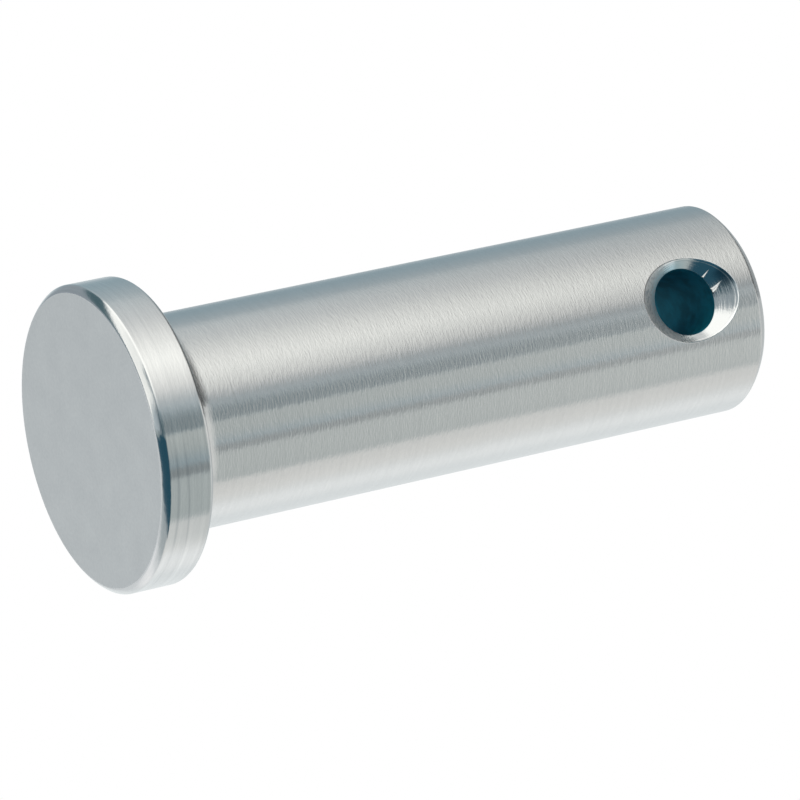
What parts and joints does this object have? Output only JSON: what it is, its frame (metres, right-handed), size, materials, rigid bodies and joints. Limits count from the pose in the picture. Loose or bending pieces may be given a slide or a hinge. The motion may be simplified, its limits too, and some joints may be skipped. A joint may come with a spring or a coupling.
{
  "type": "drilled clevis pin",
  "caption": "Turned steel clevis pin with a flat round head and a countersunk cross hole near the free end for a split pin.",
  "frame": {"origin": "centre of the head's outer face, on which the pin stands", "axes": "+Z along the shank from the head to the free end; the cross hole runs along Y; +X completes the set"},
  "size_m": [0.0142, 0.0142, 0.0335],
  "materials": {
    "turned_steel": "bright turned stainless steel with fine tool marks round the pin"
  },
  "bodies": {
    "root": {"clevis_pin": "turned_steel"}
  },
  "joints": []
}
